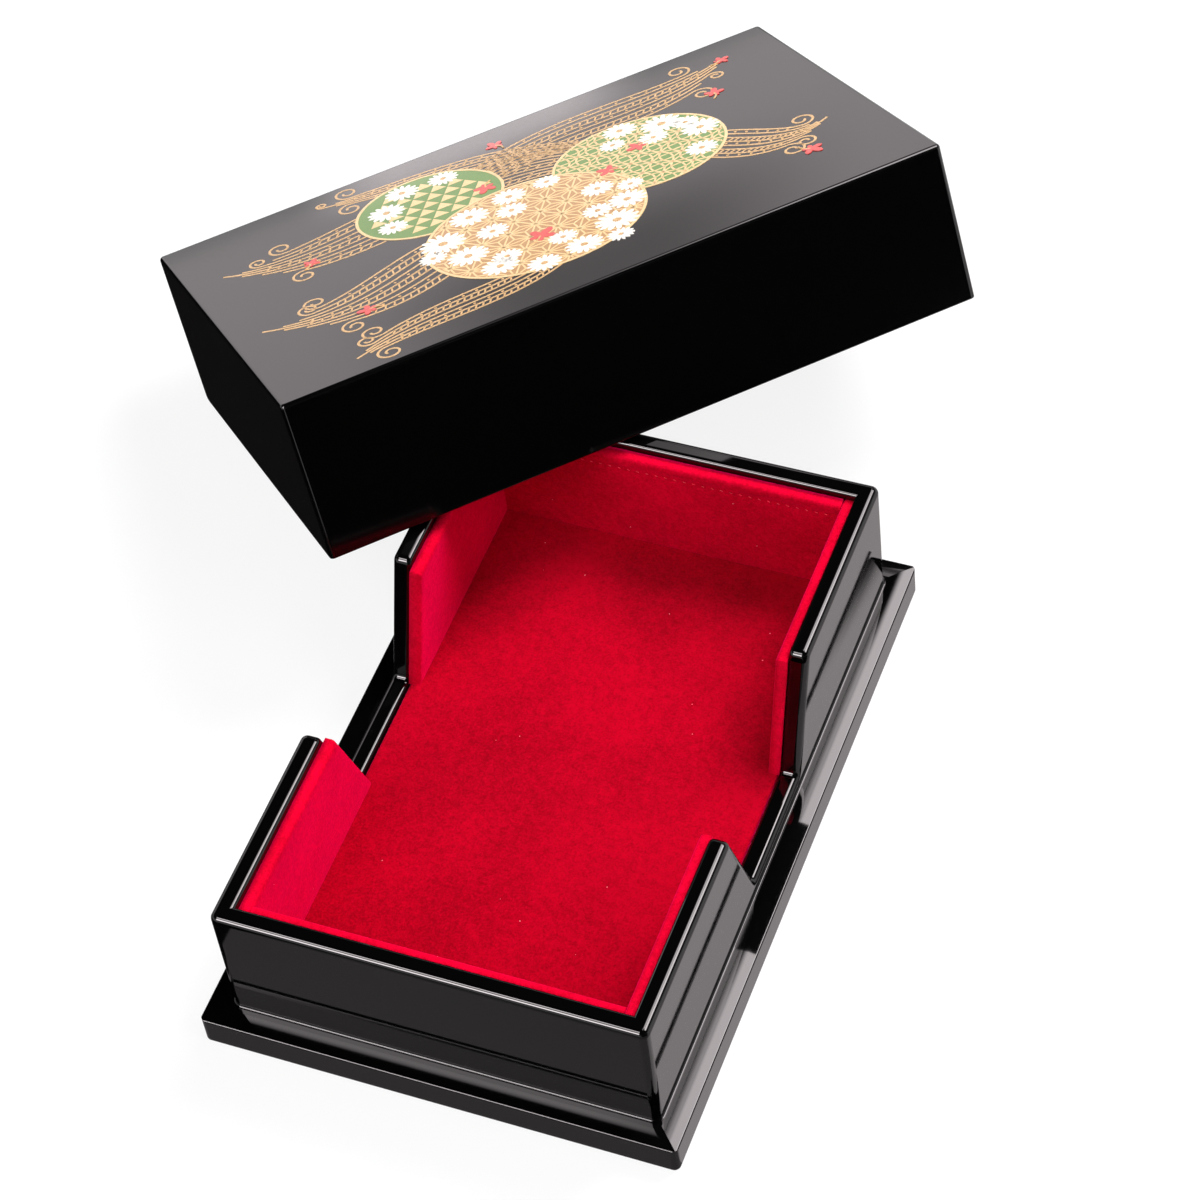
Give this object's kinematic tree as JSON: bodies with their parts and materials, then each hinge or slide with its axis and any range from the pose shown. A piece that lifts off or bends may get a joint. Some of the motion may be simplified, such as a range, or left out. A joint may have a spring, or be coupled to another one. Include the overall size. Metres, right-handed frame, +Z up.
{
  "type": "lacquered jewelry box",
  "caption": "Velvet-lined tray with finger notches on a moulded plinth, with a deep lift-off lid leaning on one corner.",
  "frame": {"origin": "middle of the plinth's underside", "axes": "+Z up, length along Y with the front end at -Y, +X to the right seen from the front"},
  "size_m": [0.2609, 0.3928, 0.1051],
  "materials": {
    "black_lacquer": "polished black lacquer",
    "decorated_lacquer": "polished black lacquer with a painted design",
    "velvet": "cut pile velvet",
    "pad_board": "bare grey board"
  },
  "bodies": {
    "tray": {"plinth_moulding_front": "black_lacquer", "plinth_moulding_back": "black_lacquer", "plinth_moulding_left": "black_lacquer", "plinth_moulding_right": "black_lacquer", "base_board": "black_lacquer", "tray_wall_front": "black_lacquer", "tray_wall_back": "black_lacquer", "tray_wall_left": "black_lacquer", "tray_wall_right": "black_lacquer", "floor_card": "pad_board", "floor_velvet": "velvet", "lining_board_front": "pad_board", "lining_board_back": "pad_board", "lining_board_left_front": "pad_board", "lining_board_left_back": "pad_board", "lining_board_right_front": "pad_board", "lining_board_right_back": "pad_board", "lining_velvet_front": "velvet", "lining_velvet_back": "velvet", "lining_velvet_left_front": "velvet", "lining_velvet_left_back": "velvet", "lining_velvet_right_front": "velvet", "lining_velvet_right_back": "velvet"},
    "lid": {"lid_top_panel": "decorated_lacquer", "lid_wall_front": "black_lacquer", "lid_wall_back": "black_lacquer", "lid_wall_left": "black_lacquer", "lid_wall_right": "black_lacquer"}
  },
  "joints": [
    {"name": "lid_lift", "type": "slide", "parent": "tray", "child": "lid", "axis": [0, 0, 1], "range_m": [0, 0.12]}
  ]
}
